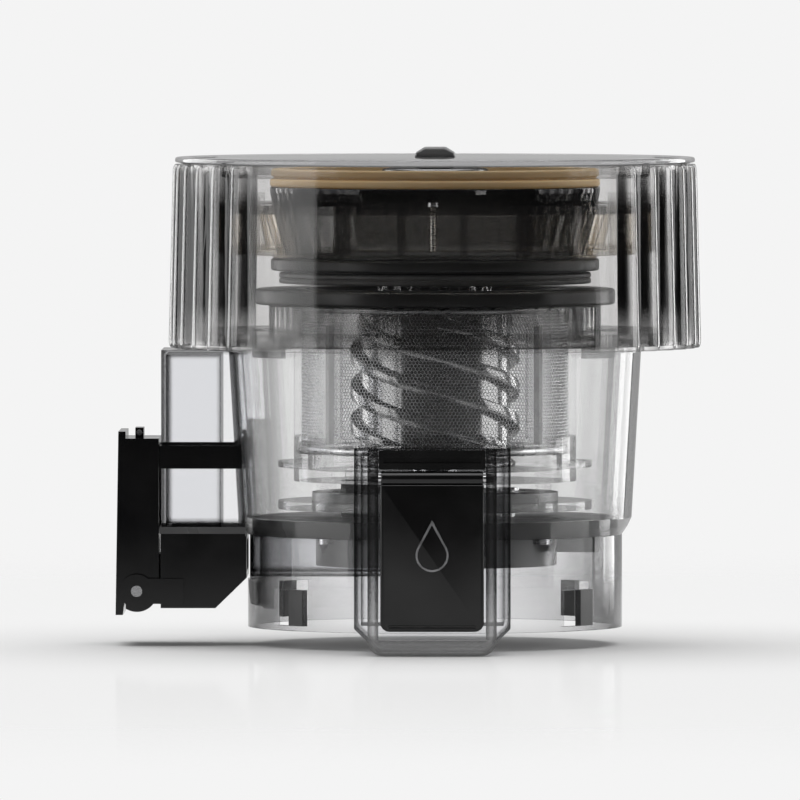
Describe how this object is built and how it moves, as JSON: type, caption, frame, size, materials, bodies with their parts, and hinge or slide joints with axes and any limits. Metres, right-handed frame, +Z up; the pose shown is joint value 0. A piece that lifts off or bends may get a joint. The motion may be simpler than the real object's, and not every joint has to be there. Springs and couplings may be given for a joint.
{
  "type": "auger juicer chamber",
  "caption": "Clear juicing chamber of a vertical auger juicer: reeded hopper, mesh strainer, helical auger, juice outlet with flap cap, pulp outlet with lever.",
  "frame": {"origin": "on the auger's axis, in the plane of the skirt's bottom rim", "axes": "+Z up along the auger's axis, -Y towards the juice outlet, -X towards the pulp outlet"},
  "size_m": [0.2086, 0.1962, 0.1773],
  "materials": {
    "clear_plastic": "polished clear copolyester",
    "smoky_plastic": "polished smoky clear copolyester",
    "dark_smoky_plastic": "polished dark smoky plastic",
    "amber_plastic": "amber translucent PEI",
    "amber_silicone": "amber translucent silicone",
    "black_plastic": "satin black moulding",
    "black_gloss_plastic": "gloss black moulding",
    "grey_plastic": "satin grey moulding",
    "gear_plastic": "dark grey acetal",
    "stainless_steel": "stainless",
    "silver_trim": "bright foil",
    "grey_silicone": "silicone rubber"
  },
  "bodies": {
    "chamber": {"base_skirt": "clear_plastic", "bayonet_blocks": "black_plastic", "bowl_floor": "black_plastic", "floor_screws": "stainless_steel", "juice_bowl": "clear_plastic", "drive_collar": "black_plastic", "shaft_bush": "gear_plastic", "shaft_seal": "grey_silicone", "idler_pin": "stainless_steel", "strainer_cage": "clear_plastic", "strainer_mesh": "stainless_steel", "strainer_base": "black_plastic", "strainer_collar": "black_plastic", "collar_neck": "clear_plastic", "collar_spokes": "black_plastic", "pulp_tube": "black_plastic", "outlet_housing": "clear_plastic", "outlet_frame": "clear_plastic", "outlet_bar": "black_gloss_plastic", "cap_hinge_pin": "stainless_steel", "pulp_chute": "clear_plastic", "chute_band": "black_plastic", "chute_sill": "grey_plastic", "pulp_elbow": "black_gloss_plastic", "pulp_channel": "clear_plastic", "lever_pin": "stainless_steel"},
    "hopper": {"hopper_drum": "smoky_plastic", "hopper_floor": "smoky_plastic", "feed_funnel": "amber_plastic", "funnel_flange": "dark_smoky_plastic", "funnel_screws": "stainless_steel", "feed_bowl": "dark_smoky_plastic", "feed_bowl_seal": "amber_silicone", "neck_ring": "black_plastic", "neck_seal": "grey_silicone", "drum_ribs": "clear_plastic"},
    "lid": {"hopper_lid": "clear_plastic", "lid_plug_ring": "smoky_plastic", "lid_knob": "grey_plastic"},
    "auger": {"auger_screw": "black_gloss_plastic", "auger_column": "black_gloss_plastic", "auger_cap": "black_gloss_plastic", "auger_wings": "black_gloss_plastic", "drive_shaft": "stainless_steel", "auger_gear": "gear_plastic"},
    "idler": {"idler_gear": "gear_plastic"},
    "wiper": {"wiper_frame": "clear_plastic", "wiper_blades": "grey_silicone", "wiper_gear": "gear_plastic"},
    "cap": {"outlet_cap": "black_gloss_plastic", "cap_seal": "grey_silicone", "drop_icon": "silver_trim"},
    "lever": {"pulp_lever": "black_gloss_plastic", "lever_plate": "black_gloss_plastic", "lever_ear": "black_gloss_plastic", "latch_pin": "stainless_steel", "lever_seal": "grey_silicone"}
  },
  "joints": [
    {"name": "hopper_lift", "type": "slide", "parent": "chamber", "child": "hopper", "axis": [0, 0, 1], "range_m": [0, 0.12]},
    {"name": "lid_lift", "type": "slide", "parent": "hopper", "child": "lid", "axis": [0, 0, 1], "range_m": [0, 0.06]},
    {"name": "auger_spin", "type": "hinge", "parent": "chamber", "child": "auger", "pos_m": [0, 0, 0.045], "axis": [0, 0, 1], "continuous": true},
    {"name": "idler_spin", "type": "hinge", "parent": "chamber", "child": "idler", "pos_m": [0.026, 0, 0.045], "axis": [0, 0, 1], "continuous": true},
    {"name": "wiper_spin", "type": "hinge", "parent": "chamber", "child": "wiper", "pos_m": [0, 0, 0.045], "axis": [0, 0, 1], "continuous": true},
    {"name": "cap_hinge", "type": "hinge", "parent": "chamber", "child": "cap", "pos_m": [0, -0.0995, 0.056], "axis": [-1, 0, 0], "range_deg": [0, 75]},
    {"name": "lever_hinge", "type": "hinge", "parent": "chamber", "child": "lever", "pos_m": [-0.106, 0, 0.0132], "axis": [0, -1, 0], "range_deg": [0, 75]}
  ],
  "couplings": [
    {"joint": "idler_spin", "follows": "auger_spin", "ratio": -1.1667},
    {"joint": "wiper_spin", "follows": "auger_spin", "ratio": -0.36842}
  ]
}
